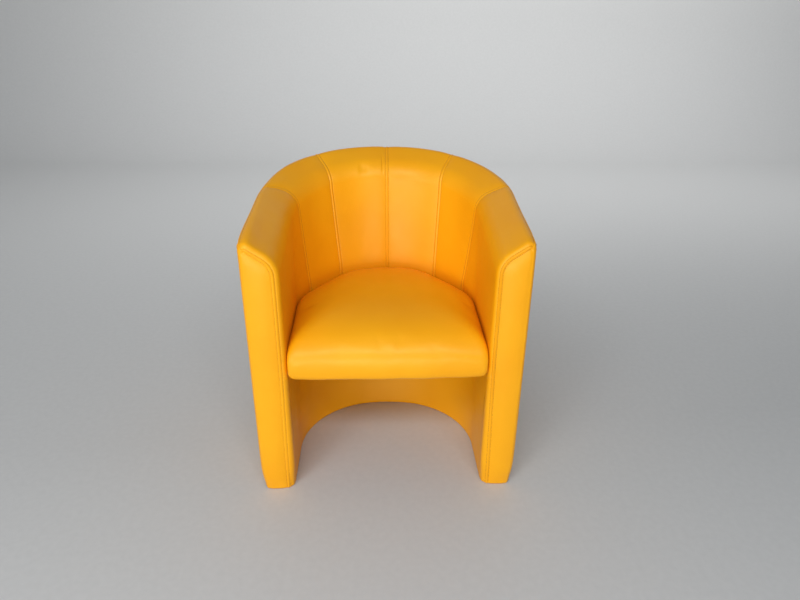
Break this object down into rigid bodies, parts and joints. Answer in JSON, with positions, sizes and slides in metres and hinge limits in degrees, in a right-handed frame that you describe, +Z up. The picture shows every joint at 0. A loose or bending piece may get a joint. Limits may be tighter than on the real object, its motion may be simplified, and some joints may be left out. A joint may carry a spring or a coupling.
{
  "type": "tub chair",
  "caption": "Upholstered tub chair: a rounded back and arms in one wall, sloping down to flat arm fronts, with a crowned seat and an open space under it.",
  "frame": {"origin": "middle of the chair's footprint box, on the floor", "axes": "+Z up, the sitter faces -Y, +X to the right seen from the front"},
  "size_m": [0.65, 0.5792, 0.7753],
  "materials": {
    "vinyl": "smooth yellow upholstery vinyl, soft sheen, tonal topstitching",
    "foam": "open-cell polyurethane foam, cream",
    "wadding": "bonded polyester wadding, white",
    "plywood": "sawn birch plywood",
    "timber": "planed beech",
    "fibreboard": "thin bent fibreboard",
    "webbing": "woven elastic webbing",
    "base_cloth": "black non-woven cloth",
    "zinc_steel": "zinc-plated steel",
    "glide_plastic": "black nylon"
  },
  "bodies": {
    "root": {"base_rail": "plywood", "seat_rail": "plywood", "top_rail": "plywood", "front_post_left": "plywood", "front_post_right": "plywood", "seat_frame": "plywood", "lower_studs": "timber", "upper_studs": "timber", "corner_blocks": "timber", "seat_cleat_left": "timber", "seat_cleat_right": "timber", "seat_cleat_back": "timber", "outer_board": "fibreboard", "inner_board": "fibreboard", "lower_inner_board": "fibreboard", "outer_wadding": "wadding", "outside_panel_left": "vinyl", "outside_panel_back": "vinyl", "outside_panel_right": "vinyl", "lower_lining": "vinyl", "facing_cover_left": "vinyl", "facing_cover_right": "vinyl", "seat_cover": "vinyl", "inside_foam_1": "foam", "inside_panel_1": "vinyl", "inside_foam_2": "foam", "inside_panel_2": "vinyl", "inside_foam_3": "foam", "inside_panel_3": "vinyl", "inside_foam_4": "foam", "inside_panel_4": "vinyl", "inside_foam_5": "foam", "inside_panel_5": "vinyl", "inside_foam_6": "foam", "inside_panel_6": "vinyl", "facing_foam_left": "foam", "facing_foam_right": "foam", "seat_foam": "foam", "seat_webbing": "webbing", "seat_cloth": "base_cloth", "base_cloth": "base_cloth", "cleat_screws": "zinc_steel", "post_screws": "zinc_steel", "seat_bolts": "zinc_steel", "seat_washers": "zinc_steel", "seat_tee_nuts": "zinc_steel", "glide_nails": "zinc_steel", "floor_glides": "glide_plastic"}
  },
  "joints": []
}
